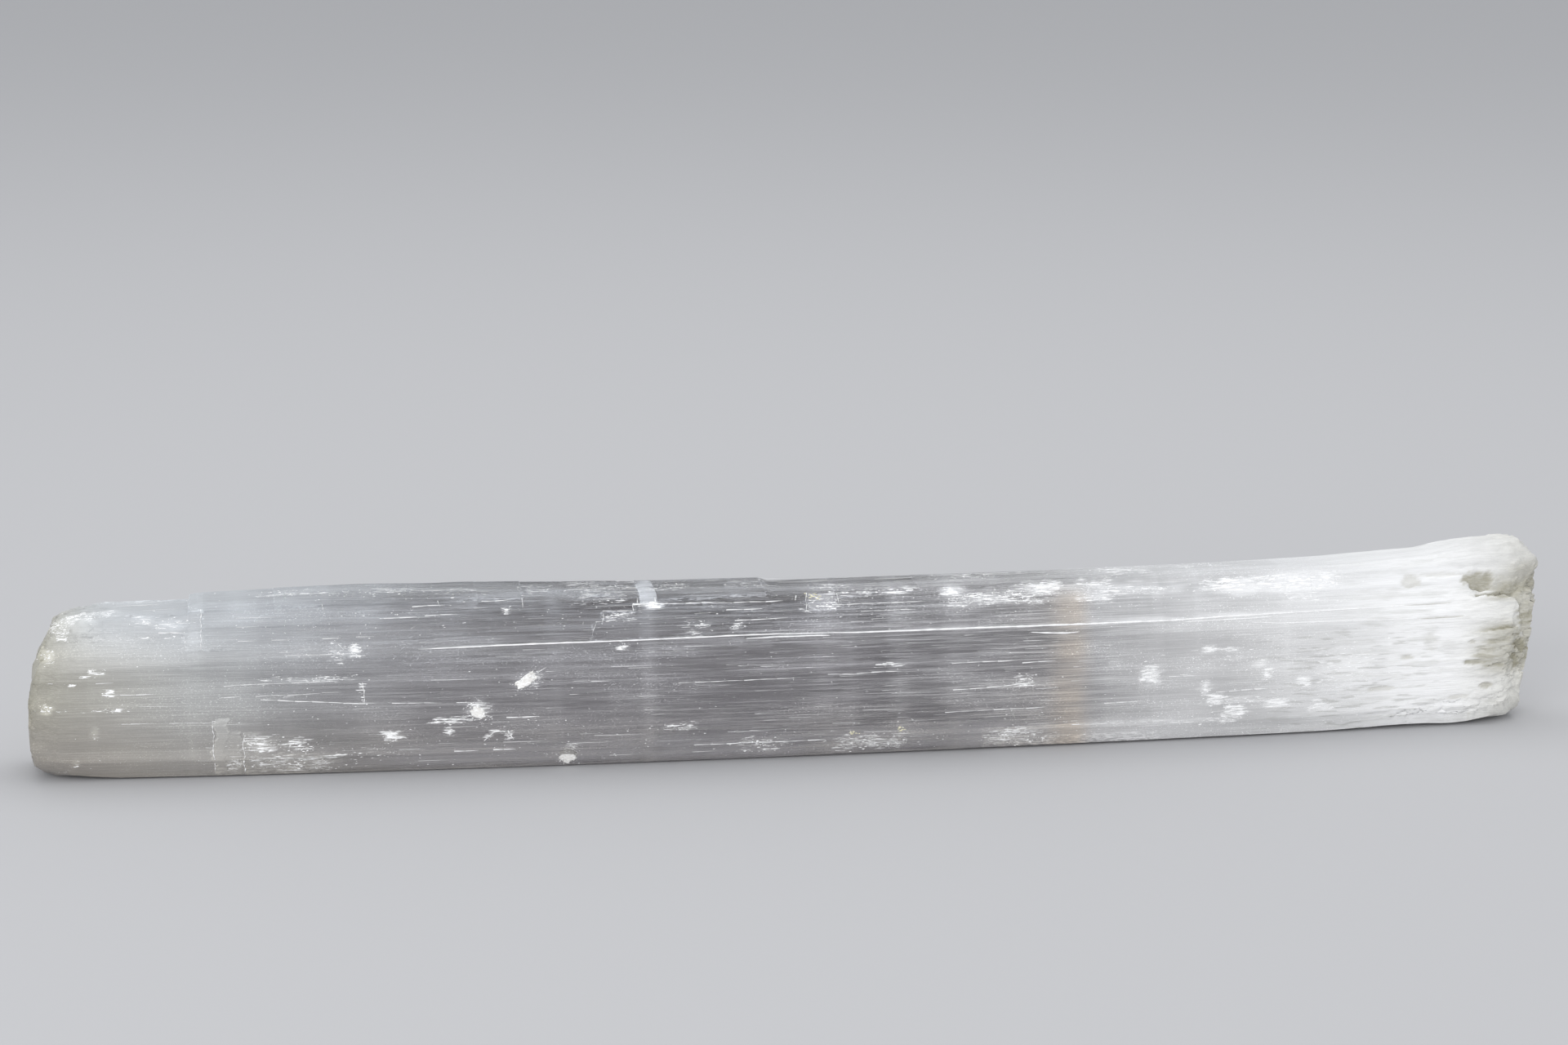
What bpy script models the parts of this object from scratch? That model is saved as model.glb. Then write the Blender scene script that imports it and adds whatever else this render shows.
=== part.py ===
"""A natural selenite crystal blade, one solid, standing on its long narrow foot.

Metres, +Z up, +X along the blade. The origin is on the surface it rests on, under the middle of its box.

The blade is a loft. One cross-section, the habit, is carried along X: its height follows the top and
bottom edges, its middle line bows gently backwards at both ends, and fine ribs run along its length as
they do on a fibrous crystal. Each line of the loft ends where the broken end's outline is at that height,
and rings that shrink to a point close the two ends.
"""

import math
from collections import namedtuple

import bmesh
import bpy
from mathutils import Vector, noise

MM = 0.001

# Driving dimensions, in millimetres.
BLADE_LENGTH = 400.0  # end to end
HABIT_HEIGHT = 43.8  # height of the cross-section below
END_BOW = 5.0  # how far back the middle line lies at BOW_REACH from the middle of the blade
BOW_REACH = 180.0
STATION_STEP = 6.5  # spacing of the rings along the blade
STEP_SLOPE = 0.5  # the top edge has a step where it climbs or falls faster than this
RIB_STEP = 2.8  # spacing of the lines round the cross-section
FACE_RIB_DEPTH = 0.35  # ribs on the wide front face
BACK_RIB_DEPTH = 1.1  # ribs on the back, which broke more coarsely
RIB_PITCH = 5.5
RIB_REACH = 190.0  # how far along the blade a rib keeps its shape
RIB_LEAN = 0.6  # how much depth counts, against height, in telling one rib from the next

# The cross-section in (depth, height), millimetres, from the front of the foot up the front face,
# over the top, and down the back. The foot between its last and first corners is flat.
HABIT = (
    (-12.5, 0.0),  # front of the foot
    (-15.0, 4.5),  # narrow facet under the front face
    (-15.4, 17.0),
    (-14.7, 30.0),  # the face turns here, along the long crack
    (-12.6, 38.2),
    (-10.6, 42.2),  # front shoulder
    (-8.2, 43.8),
    (5.4, 43.8),
    (8.6, 41.2),  # back shoulder
    (11.0, 32.0),
    (11.4, 20.0),
    (10.2, 8.0),
    (8.2, 2.6),
    (6.0, 0.0),  # back of the foot
)
FOOT_LINE_HEIGHT = 0.3  # lines lower than this belong to the flat foot and carry no rib
CORE = (-1.8, 21.5)  # the middle of the cross-section, where the end rings shrink to
FACE_REACH = 13.6  # from the core to either face

# Top edge as (distance along, height). Close pairs are steps where a cleavage plate ended.
TOP_EDGE = (
    (-200.0, 41.5),
    (-189.0, 41.8),
    (-183.0, 42.6),
    (-177.5, 43.4),
    (-159.4, 43.9),
    (-158.4, 44.6),
    (-140.0, 45.4),
    (-115.0, 45.8),
    (-60.0, 44.4),
    (-41.0, 43.9),
    (-10.4, 43.7),
    (-9.6, 43.0),
    (60.0, 43.5),
    (140.0, 44.7),
    (168.0, 45.9),
    (178.0, 47.6),
    (186.0, 48.3),
    (200.0, 48.8),
)
# Height of the foot above the surface: it stands flat between its two ends, which lift a little.
FOOT_EDGE = (
    (-200.0, 1.1),
    (-190.0, 0.5),
    (-181.0, 0.0),
    (138.0, 0.0),
    (158.0, 0.9),
    (168.0, 0.8),
    (176.0, 0.4),
    (187.0, 0.9),
    (200.0, 2.4),
)

# A broken end. outline: its edge seen from the front, as (height on the cross-section, distance along).
# rings: what closes it, from the rim inwards, as (share of the rim's size, distance behind the outline).
# rounding: its reach along the blade, and how much the front and back faces draw in over it.
# unevenness: the depth of its hackle. side: which way it faces along X.
End = namedtuple("End", "outline rings rounding unevenness side")
LEFT_END = End(
    outline=(
        (0.0, -195.5),
        (1.4, -198.4),
        (3.6, -200.2),
        (8.0, -200.7),
        (18.0, -200.6),
        (28.0, -199.2),
        (32.0, -198.1),
        (36.0, -196.0),
        (38.0, -195.3),
        (41.5, -194.3),
        (43.2, -192.2),
        (43.8, -190.2),
    ),
    rings=((1.0, 2.0), (0.95, 0.9), (0.88, 0.5), (0.74, 0.3), (0.56, 0.2), (0.36, 0.1), (0.17, 0.0)),
    rounding=(9.0, 1.6),
    unevenness=0.8,
    side=-1.0,
)
RIGHT_END = End(
    outline=(
        (0.0, 196.0),
        (1.4, 196.6),
        (5.0, 196.2),
        (8.0, 195.9),
        (14.4, 196.6),
        (20.2, 198.3),
        (30.4, 199.3),
        (33.9, 198.9),
        (37.3, 200.0),
        (39.2, 199.8),
        (41.5, 198.6),
        (43.8, 196.8),
    ),
    rings=((1.0, 2.4), (0.95, 1.1), (0.88, 0.6), (0.74, 0.4), (0.56, 0.3), (0.36, 0.2), (0.17, 0.0)),
    rounding=(19.0, 4.4),
    unevenness=1.4,
    side=1.0,
)
HACKLE_PITCH = (8.0, 5.0)  # across the depth and up the height
HACKLE_FADE = 0.12  # share of the rim's size over which the hackle grows from the smooth rim
FINE_HACKLE = (2.3, 0.4)  # how much finer and how much shallower the second hackle is
END_SHARE = 0.09  # share of the length over which the rings turn from upright to the end's outline

CRYSTAL_COLOUR = (0.72, 0.74, 0.74, 1.0)
CRYSTAL_ROUGHNESS = 0.35
CRYSTAL_IOR = 1.52
SHARP_ANGLE = math.radians(28.0)


def interpolate(points, at):
    """Straight-line reading of (key, value) pairs in rising order of key."""
    if at <= points[0][0]:
        return points[0][1]
    for (low, first), (high, second) in zip(points, points[1:]):
        if at <= high:
            return first + (second - first) * (at - low) / (high - low)
    return points[-1][1]


def section_lines():
    """The cross-section cut into lines about RIB_STEP apart, keeping its corners. The foot stays one flat."""
    lines = []
    for start, end in zip(HABIT, HABIT[1:]):
        length = math.dist(start, end)
        parts = max(1, round(length / RIB_STEP))
        for part in range(parts):
            share = part / parts
            lines.append(tuple(a + (b - a) * share for a, b in zip(start, end)))
    lines.append(HABIT[-1])
    return lines


def outward(lines, index):
    """Unit normal of the cross-section at a line, pointing out of the crystal."""
    before, after = lines[index - 1], lines[(index + 1) % len(lines)]
    along = Vector((after[0] - before[0], after[1] - before[1]))
    return Vector((-along.y, along.x)).normalized()


def rib_height(along, depth, height):
    """How far a rib stands out here. It changes slowly along the blade and quickly round it."""
    on_back = depth > CORE[0]
    strength = BACK_RIB_DEPTH if on_back else FACE_RIB_DEPTH
    here = Vector((along / RIB_REACH, (height + depth * RIB_LEAN) / RIB_PITCH, float(on_back)))
    return strength * noise.noise(here)


def drawn_in(along, left, right):
    """Share of its depth that the cross-section loses here, to a quarter round at either end."""
    lost = 0.0
    for distance, end in ((along - left, LEFT_END), (right - along, RIGHT_END)):
        reach, depth = end.rounding
        if distance < reach:
            share = 1.0 - max(distance, 0.0) / reach
            lost += depth / FACE_REACH * (1.0 - math.sqrt(1.0 - share * share))
    return lost


def place(along, depth, height):
    """Metres, for a point of the cross-section at a distance along the blade."""
    foot = interpolate(FOOT_EDGE, along)
    top = interpolate(TOP_EDGE, along)
    bow = END_BOW * (along / BOW_REACH) ** 2
    level = foot + height * (top - foot) / HABIT_HEIGHT
    return Vector((along, depth + bow, level)) * MM


def stations():
    """Shares of the way from one end to the other, with one on each side of every step of the top edge."""
    count = round(BLADE_LENGTH / STATION_STEP)
    shares = {index / count for index in range(count + 1)}
    for (low, first), (high, second) in zip(TOP_EDGE, TOP_EDGE[1:]):
        if abs(second - first) > STEP_SLOPE * (high - low):
            step = {edge / BLADE_LENGTH + 0.5 for edge in (low, high)}
            middle = sum(step) / 2
            shares = {share for share in shares if abs(share - middle) * BLADE_LENGTH > STATION_STEP / 2}
            shares |= step
    return sorted(shares)


def rim_along(end, height):
    """Where an end's rim crosses a height of the cross-section."""
    return interpolate(end.outline, height) - end.side * end.rings[0][1]


def loft_place(share, depth, height, normal):
    """Metres, for a line of the loft at a share of the way along it."""
    left, right = (rim_along(end, height) for end in (LEFT_END, RIGHT_END))
    half = BLADE_LENGTH / 2
    along = share * BLADE_LENGTH - half
    along += (left + half) * max(0.0, 1.0 - share / END_SHARE) ** 2
    along += (right - half) * max(0.0, 1.0 - (1.0 - share) / END_SHARE) ** 2
    if height > FOOT_LINE_HEIGHT:
        rib = normal * rib_height(along, depth, height)
        depth, height = depth + rib.x, height + rib.y
    depth = CORE[0] + (depth - CORE[0]) * (1.0 - drawn_in(along, left, right))
    return place(along, depth, height)


def hackle(depth, height, side):
    """Unevenness of a broken end, about -1 to 1."""
    finer, shallower = FINE_HACKLE
    here = Vector((depth / HACKLE_PITCH[0], height / HACKLE_PITCH[1], side))
    return noise.noise(here) + shallower * noise.noise(here * finer)


def extruded(bm, ring):
    """One more ring on the open end of the loft, as (edges, vertices)."""
    made = bmesh.ops.extrude_edge_only(bm, edges=ring)["geom"]
    verts = [item for item in made if isinstance(item, bmesh.types.BMVert)]
    edges = [item for item in made if isinstance(item, bmesh.types.BMEdge)]
    return [edge for edge in edges if edge.verts[0] in verts and edge.verts[1] in verts], verts


def close_end(bm, end, ring, rim_verts, line, lines):
    """Rings that shrink from the rim to the core, then a single point."""
    rim = {vert[line]: vert.co.copy() for vert in rim_verts}
    core = place(rim_along(end, CORE[1]), *CORE)
    verts = rim_verts
    for share, behind in end.rings[1:]:
        ring, verts = extruded(bm, ring)
        for vert in verts:
            depth, height = (mid + (at - mid) * share for at, mid in zip(lines[vert[line]], CORE))
            rise = end.unevenness * hackle(depth, height, end.side) * min(1.0, (1.0 - share) / HACKLE_FADE)
            along = interpolate(end.outline, height) + end.side * (rise - behind)
            vert.co = core + (rim[vert[line]] - core) * share
            vert.co.x = along * MM
    tip = sum((vert.co for vert in verts), Vector()) / len(verts)
    bmesh.ops.pointmerge(bm, verts=verts, merge_co=tip)


def crystal_mesh():
    """The closed loft."""
    lines = section_lines()
    normals = [outward(lines, index) for index in range(len(lines))]
    bm = bmesh.new()
    line = bm.verts.layers.int.new("line")
    verts = [bm.verts.new((0.0, depth * MM, height * MM)) for depth, height in lines]
    for index, vert in enumerate(verts):
        vert[line] = index
    left_ring = [bm.edges.new((verts[index - 1], verts[index])) for index in range(len(verts))]
    left_verts = verts
    ring = left_ring
    for share in stations():
        if share > 0.0:
            ring, verts = extruded(bm, ring)
        for vert in verts:
            depth, height = lines[vert[line]]
            vert.co = loft_place(share, depth, height, normals[vert[line]])
    close_end(bm, LEFT_END, left_ring, left_verts, line, lines)
    close_end(bm, RIGHT_END, ring, verts, line, lines)
    bmesh.ops.recalc_face_normals(bm, faces=bm.faces[:])
    mesh = bpy.data.meshes.new("crystal_blade")
    bm.to_mesh(mesh)
    bm.free()
    return mesh


def stand_on_origin(mesh):
    """Moves the mesh so that the middle of its box is over the origin and its foot is at height 0."""
    low = Vector([min(vert.co[axis] for vert in mesh.vertices) for axis in range(3)])
    high = Vector([max(vert.co[axis] for vert in mesh.vertices) for axis in range(3)])
    middle = (low + high) / 2
    for vert in mesh.vertices:
        vert.co -= Vector((middle.x, middle.y, low.z))


def crystal_material():
    material = bpy.data.materials.new("satin selenite")
    material.use_nodes = True
    surface = material.node_tree.nodes["Principled BSDF"]
    surface.inputs["Base Color"].default_value = CRYSTAL_COLOUR
    surface.inputs["Roughness"].default_value = CRYSTAL_ROUGHNESS
    surface.inputs["IOR"].default_value = CRYSTAL_IOR
    surface.inputs["Metallic"].default_value = 0.0
    return material


def main():
    for old in list(bpy.data.objects):
        bpy.data.objects.remove(old)
    mesh = crystal_mesh()
    stand_on_origin(mesh)
    mesh.materials.append(crystal_material())
    mesh.shade_smooth()
    mesh.set_sharp_from_angle(angle=SHARP_ANGLE)
    blade = bpy.data.objects.new("crystal_blade", mesh)
    bpy.context.scene.collection.objects.link(blade)


main()
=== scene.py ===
import math
import random

import bmesh
import bpy
from mathutils import Euler, Matrix, Vector, noise
from mathutils.bvhtree import BVHTree


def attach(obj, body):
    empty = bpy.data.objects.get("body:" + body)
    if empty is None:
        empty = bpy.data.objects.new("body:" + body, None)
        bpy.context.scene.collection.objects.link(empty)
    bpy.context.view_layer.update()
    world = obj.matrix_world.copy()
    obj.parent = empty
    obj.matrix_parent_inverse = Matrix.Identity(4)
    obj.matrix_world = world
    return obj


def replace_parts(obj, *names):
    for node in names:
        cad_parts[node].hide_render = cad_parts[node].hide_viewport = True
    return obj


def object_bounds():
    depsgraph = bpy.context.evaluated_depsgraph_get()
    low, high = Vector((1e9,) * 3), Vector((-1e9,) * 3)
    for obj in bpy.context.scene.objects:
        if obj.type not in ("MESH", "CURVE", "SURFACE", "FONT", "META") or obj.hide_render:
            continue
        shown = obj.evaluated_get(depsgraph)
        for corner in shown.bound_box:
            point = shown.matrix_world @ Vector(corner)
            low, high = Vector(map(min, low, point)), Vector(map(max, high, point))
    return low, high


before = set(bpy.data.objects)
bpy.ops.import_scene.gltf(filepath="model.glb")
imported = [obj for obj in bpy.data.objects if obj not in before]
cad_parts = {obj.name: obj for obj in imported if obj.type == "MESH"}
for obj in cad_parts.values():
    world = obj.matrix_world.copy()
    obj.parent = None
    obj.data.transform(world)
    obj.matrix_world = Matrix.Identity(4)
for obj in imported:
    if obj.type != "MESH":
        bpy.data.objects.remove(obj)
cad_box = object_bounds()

# Lengths are in millimetres. Along is +X, towards the thick milky end; heights are above the foot.
MM = 0.001
SEED = 41  # of every random draw
MILKY_START, MILKY_FULL = 145, 184  # where the rough of the milky end begins, and is at its full
BOW = 5 / 180 ** 2  # the blade bends back by this times the square of the distance along

# --- The blade's stations and lines ---
HALF_LENGTH = (cad_box[1].x - cad_box[0].x) / 2 / MM
HALF_DEPTH = 13.5
HALF_HEIGHT = 22
END_REACH = 24  # the last stretch of either end, whose lines fan out from one point
STATION_PITCH = 1.7
MILKY_PITCH = 0.9  # the same where the milky end's rough begins
FAN_PITCH = 0.8
RING_PITCH = 0.5  # on the broken ends
STEP_OFFSETS = (-0.4, -0.06, 0.06, 0.4)  # stations on both sides of a plate's end
STEP_WIDTH = 0.3  # neighbouring stations nearer than this are on either side of a step
LINE_PITCH = {"front": 0.4, "top": 0.5, "back": 0.8, "foot": 2.6}
OVER_TOP, OFF_SIDE = 80, 60  # distances that are surely outside the blade

# --- Relief ---
SKIN = {"front": 0.4, "top": 0.25, "back": 1, "foot": 0}  # how far the resting level lies in the solid
RIB_DEPTH = {"front": 0.6, "top": 1, "back": 4.2, "foot": 0}
TREADS = 5  # how many levels the ribs' long treads have
JAG = 1.3  # how far a plate's broken end wanders along the blade
CRISP_EDGE = math.radians(36)  # the surface is shaded crisply where it bends by more than this
# The olive mark is painted shade: olive darkening in the hollows, flutes and broken end of the milky end.
MARKS = ("chalk", "pale", "olive", "lip")  # what each vertex tells the crystal's finish

# Cleavage plates of the front and top: (left, right, low, high, how far it stands out, how pale it is, fade).
# A fade is the length over which the right end thins out to nothing, or the left end if it is negative.
PLATES = (
    (-182, -158.6, 42.5, 60, -0.8, 0, -12),
    (-155.2, -141, 34, 60, 0.16, 0, 12),
    (-159.6, -155.2, 33.9, 38.3, 0.1, 0.04, 0),
    (-158.6, -155.2, 43.3, 60, 0.16, 0.04, 0),
    (-153.1, -150, 1.3, 15.3, 0.2, 0.2, 0),
    (-150, -146.4, 0.4, 11.7, 0.12, 0.13, 0),
    (-145.6, -117, 0.4, 5.8, 0.16, 0.06, 16),
    (-145.6, -136, 5.8, 11.4, 0.12, 0.04, 8),
    (-137, -119.3, 44, 60, 0.1, 0.05, 8),
    (-100, -73.6, 44, 60, 0.14, 0.03, -14),
    (-97, -86, 42.8, 60, 0.1, 0.03, -8),
    (-62, -48.5, 44.2, 60, 0.14, 0.04, -8),
    (-56.2, -20, 33.7, 38, 0.14, 0.02, 22),
    (-53.5, -20, 38, 40.4, 0.14, 0.03, 18),
    (-45.4, -14.7, 40.4, 41.9, 0.16, 0.05, 14),
    (-43.9, -39.5, 41.9, 60, 0.2, 0.45, 0),
    (-39.5, -10, 42.8, 60, 0.16, 0.02, 0),
    (0, 8, 38.9, 42.7, 0.2, 0.12, 0),
    (8, 19.5, 41.9, 43.4, 0.14, 0.04, 8),
    (30, 90, 42.8, 60, 0.1, 0.03, 40),
    (123.3, 128.6, 40.8, 42.4, 0.06, 0.25, -4),
    (128.6, 134.6, 38.8, 42.4, 0.12, 0.45, 0),
    (137.6, 142.4, 39.6, 42.4, 0.1, 0.38, 0),
    (46, 112, -1, 5.7, -0.16, 0.2, 30),
    (47.3, 67.5, 0.6, 3.1, -0.14, 0, 8),
)

# Crumbled places on the front, where short fibres broke off: (left, right, low, high, how thickly).
SCARS = (
    (-195, -188.5, 37.5, 42, 0.4), (-190.5, -183, 40.6, 44, 0.45), (-184.5, -177, 42.2, 45, 0.45),
    (-196.8, -193, 31, 34.5, 0.35), (-192, -188.5, 36.6, 37.4, 0.9), (-184, -180, 28.2, 29.4, 0.9),
    (-186, -183.5, 27.2, 28, 0.6), (-189.2, -187.8, 25.2, 25.8, 0.9), (-180.5, -178, 22.6, 24, 1),
    (-196.6, -193.4, 17.8, 20, 0.4), (-191.5, -176.5, 18.1, 19.2, 0.25), (-178.5, -176.5, 18.2, 19.2, 0.9),
    (-184.2, -182, 11, 14.3, 0.15), (-189.6, -187.3, 3, 6, 0.12), (-173, -167, 40.2, 42.2, 0.3),
    (-168, -159, 39, 41.2, 0.35), (-182, -159.5, 36.4, 37.4, 0.25), (-145.4, -138, 6.6, 11, 0.5),
    (-134, -129, 6.6, 9.8, 0.55), (-144, -122, 1.2, 5.4, 0.42), (-149.8, -146.4, 2.5, 5.5, 0.5),
    (-141, -117, 24.8, 26.6, 0.32), (-123.4, -119.5, 29.7, 35.5, 0.3), (-118.2, -115.4, 31, 34.4, 0.8),
    (-115.6, -114.4, 19, 24.3, 0.4), (-110.2, -105.8, 8, 11, 0.8), (-116, -103, 4, 7, 0.12),
    (-97, -88.5, 12.4, 14.6, 0.7), (-93.6, -92.6, 9.4, 11.7, 0.8), (-84.6, -83, 8, 9.6, 0.5),
    (-83, -78.6, 9.8, 10.8, 0.6), (-78.4, -76.7, 8, 10.4, 0.6), (-79.2, -76.8, 40.3, 42.6, 0.7),
    (-141, -135, 7.5, 8.8, 0.4), (-131, -128.6, 6.4, 7.8, 0.5), (-87.8, -83.6, 13.6, 18, 0.5),
    (-72, -69.6, 22, 26, 0.4), (-64.6, -61.4, 4.8, 5.8, 0.6), (-50.4, -46.9, 31.2, 32.5, 0.7),
    (-62, -44, 42.4, 44.6, 0.22), (-42.6, -37.2, 40.8, 42.2, 1), (-32.3, -26.1, 33.6, 38.3, 0.35),
    (-20.3, -17.2, 34.9, 36.7, 0.5), (-37.6, -30.2, 8.8, 10.8, 0.5), (-18.5, -6.5, 2, 6.1, 0.3),
    (-53, -45.5, 38.2, 40.2, 0.4), (0, 8, 38.9, 42.2, 0.35), (6.4, 19.5, 42, 43.2, 0.4),
    (20.2, 28.7, 42.2, 43.3, 0.6), (35.7, 41.3, 41.5, 43, 0.9), (6.8, 25.3, 1.4, 5.5, 0.5),
    (17.5, 23.3, 23.9, 24.9, 0.5), (37, 43, 38.7, 42.4, 0.45), (41.6, 57, 39.5, 42, 0.5),
    (57.2, 68, 40.6, 43.6, 0.55), (54, 64, 38.6, 41, 0.4), (72.4, 81.4, 38.8, 43.8, 0.4),
    (81, 96, 40.2, 41.8, 0.45), (88.1, 93.5, 16, 21, 0.7), (49.5, 58.8, 1.1, 5.4, 0.6), (47, 66, 1, 5, 0.3),
    (54, 60, 17, 20, 0.5), (106, 124.7, 40, 43.2, 0.6), (123.4, 141.8, 39.3, 43.6, 0.5),
    (128, 136, 37, 39.5, 0.5), (105.8, 108.5, 24.3, 26, 0.9), (109.8, 116.3, 24.2, 25.3, 0.7),
    (119.6, 122.4, 19.6, 21.6, 0.5), (121.4, 123.8, 16.2, 19.4, 0.8), (131, 134.6, 13.4, 16.2, 0.9),
    (104.5, 107, 12, 16.5, 0.7), (106.5, 110.5, 9.4, 12.5, 0.8), (109.2, 122.5, 9.8, 11.6, 0.4),
    (111, 117, 5.6, 9, 0.7), (105.9, 116.1, 4.2, 5.9, 0.6), (122.5, 128.7, 7.7, 10.3, 0.7),
    (134.6, 140.8, 6.1, 7.8, 0.6), (135.6, 139.6, 7.1, 9.6, 0.6), (137, 152, 12, 24, 0.3),
)

# Soft cloudy places on the front: (along, height, half length, half height, how pale).
VEILS = (
    (-188, 40.6, 9, 3, 0.2), (-193.2, 37.2, 3.2, 3, 0.12), (-194.9, 32.7, 2.6, 2.2, 0.45),
    (-195, 18.7, 2.4, 1.7, 0.45), (-183, 12.6, 1.6, 2.2, 0.2), (-188.4, 4.5, 1.6, 1.8, 0.18),
    (-169.5, 41.5, 3, 1.8, 0.15), (-163.3, 40.3, 5, 2, 0.2), (-157.2, 37, 2.5, 3, 0.15),
    (-149.5, 7, 3.6, 8, 0.12), (-140.7, 8.4, 5.5, 3, 0.28), (-132, 3.5, 15, 2.6, 0.24),
    (-129, 25.6, 12, 1.5, 0.16), (-117, 32.6, 2.5, 2.6, 0.22), (-121.5, 32.6, 2.5, 3.5, 0.12),
    (-108, 9.5, 3.2, 2, 0.22), (-85.8, 16, 5, 3.4, 0.45), (-73.2, 23.5, 5, 3.4, 0.28),
    (-62.9, 3.2, 3.6, 3.2, 0.22), (-39.9, 41.5, 4.2, 1.5, 0.4), (-41.7, 43.2, 2.6, 2.5, 0.2),
    (4, 40.8, 5, 2.5, 0.18), (38.5, 42.2, 5, 1.4, 0.35), (48, 41, 10, 2.2, 0.22),
    (62.6, 42, 7.8, 2.4, 0.42), (77, 41.2, 6.5, 3.2, 0.28), (88, 41.2, 9, 1.8, 0.22),
    (90.8, 18.4, 4, 3.6, 0.18), (115, 41, 11, 2.6, 0.28), (132.6, 41.5, 11, 3, 0.16),
    (77, 5.7, 34, 0.8, 0.28), (75, 2.6, 45, 3, 0.1), (107, 25, 3, 1.6, 0.12), (113, 24.7, 5, 1.2, 0.1),
    (121.2, 20.6, 2.4, 1.8, 0.14), (132.8, 14.8, 2.6, 2, 0.08), (106, 14, 2.5, 3, 0.12),
    (108.5, 11, 3.5, 2.2, 0.14), (116, 10.6, 8, 1.4, 0.12), (114, 7.3, 4, 2.2, 0.12),
    (125.5, 9, 4.2, 1.8, 0.2), (138, 7, 4.4, 1.4, 0.12), (14, 3.6, 12, 2.6, 0.16), (54, 3.3, 8, 2.4, 0.2),
    (-12, 4, 8, 2.4, 0.1), (81.3, 22.2, 2.2, 1.4, 0.12), (145, 18, 9, 7, 0.1), (78, 41.4, 34, 2.6, 0.2),
    (34, 33.7, 18, 0.9, 0.25), (86, 33.7, 16, 1, 0.3), (114, 34, 16, 0.9, 0.22),
)

# The same crumbling on the top: (left, right, front, back, how thickly).
TOP_SCARS = (
    (-141, -127, -9, 1, 0.4), (-127, -112, -10, -4, 0.35), (-112, -100, -9, 0, 0.4),
    (-97, -86, -10, -2, 0.4), (-73, -64, -8, 2, 0.4), (-62, -44, -10, 4, 0.4), (-41, -28, -6, 2, 0.4),
    (-20, -10, -5, 3, 0.2), (2, 12, -8, 0, 0.4), (40, 56, -4, 3, 0.4), (80, 92, -6, 4, 0.6),
    (100, 116, -2, 6, 0.3),
)

# Bright fibres and edges open on the front: (along and height of one end, of the other, thickness).
OPEN_FIBRES = (
    (-140.8, 20.5, -114.8, 18.9, 0.16), (-124, 19.2, -83, 18.2, 0.1), (-109, 40.4, -101, 40.6, 0.16),
    (-98.6, 40.8, -90.7, 40.9, 0.14), (-101.7, 43, -93.8, 43.2, 0.16), (-88.2, 17.9, -84, 17.9, 0.2),
    (-78.4, 14, -70.3, 14, 0.2), (-56.5, 22.8, -52, 22.8, 0.14), (-82, 5.5, -76.5, 5.4, 0.22),
    (-92, 5.4, -86, 5.4, 0.18), (-19, 37.2, -5.6, 37.4, 0.14), (-21, 39.8, -12, 39.8, 0.18),
    (-44, 41.9, -6.5, 41.4, 0.18), (6.6, 40.1, 30.2, 40.1, 0.16), (14, 38.3, 28, 38.4, 0.12),
    (17.5, 24.5, 24.3, 24.6, 0.24), (-26, 25.3, -8, 25.2, 0.1), (-34, 21.6, -4, 21.8, 0.12),
    (5, 22.4, 24, 22.6, 0.12), (37.7, 24.1, 54, 24.2, 0.16), (38, 17, 56, 17.8, 0.16),
    (56.5, 23.4, 65, 23.7, 0.18), (78.6, 11.5, 88.6, 11.7, 0.16), (109, 13.2, 123, 13.5, 0.22),
    (36, 11, 62, 11.2, 0.12), (-194, 25.9, -170, 25.8, 0.1), (-180, 22.6, -168, 22.7, 0.12),
    (-150, 24.4, -120, 24.9, 0.1), (-150, 21.4, -118, 21.9, 0.1), (-176, 15, -152, 14.9, 0.08),
    (48, 5.9, 58, 6.1, 0.1), (70, 6.1, 84, 5.8, 0.12), (93, 5.4, 104, 5.2, 0.1), (-30, 4.8, 4, 4.9, 0.14),
    (96, 18, 104, 18, 0.14), (-134, 31.8, -117, 32, 0.12), (-146, 35.6, -112, 36, 0.1),
    (-166, 38, -160, 38, 0.18), (-84, 43.6, -77, 43.7, 0.2), (-155.3, 43.4, -155.5, 34, 0.16),
    (-159.7, 38.1, -159.5, 33.9, 0.14), (-158.4, 43.9, -155.4, 43.3, 0.16),
    (-153.2, 15.3, -153.2, 1.3, 0.16), (-153, 15.2, -148.6, 15, 0.12), (-145.7, 11.8, -145.5, 0.8, 0.2),
    (-56.3, 34.6, -55.1, 38, 0.18), (-55.1, 38, -53.5, 38, 0.14), (-53.5, 38, -53.1, 40.5, 0.18),
    (-53.1, 40.5, -45.5, 40.4, 0.14), (-45.5, 40.4, -45.3, 41.9, 0.2), (-45.3, 41.9, -40, 41.9, 0.3),
    (-44, 42.2, -43.9, 44, 0.22), (-39.6, 41.4, -39.4, 44, 0.22), (-0.1, 42.7, -0.6, 38.9, 0.18),
    (8, 42.5, 8.1, 40.2, 0.14), (-3, 43.1, -2.9, 41.4, 0.2), (-73.7, 43.9, -73.6, 42, 0.2),
    (-124.7, 44, -124.5, 42.6, 0.14), (-95.2, 44, -95, 42.8, 0.16), (-115, 24.3, -114.6, 18.9, 0.12),
    (-122.2, 35.5, -119.6, 33, 0.1), (-120.8, 32.5, -120, 30, 0.1), (-72.6, 24.3, -68.2, 26.9, 0.2),
    (-84.4, 8, -82, 10, 0.16), (-82, 10.2, -78.4, 10.4, 0.14), (-78.4, 10.4, -76.8, 8, 0.2),
)

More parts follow.
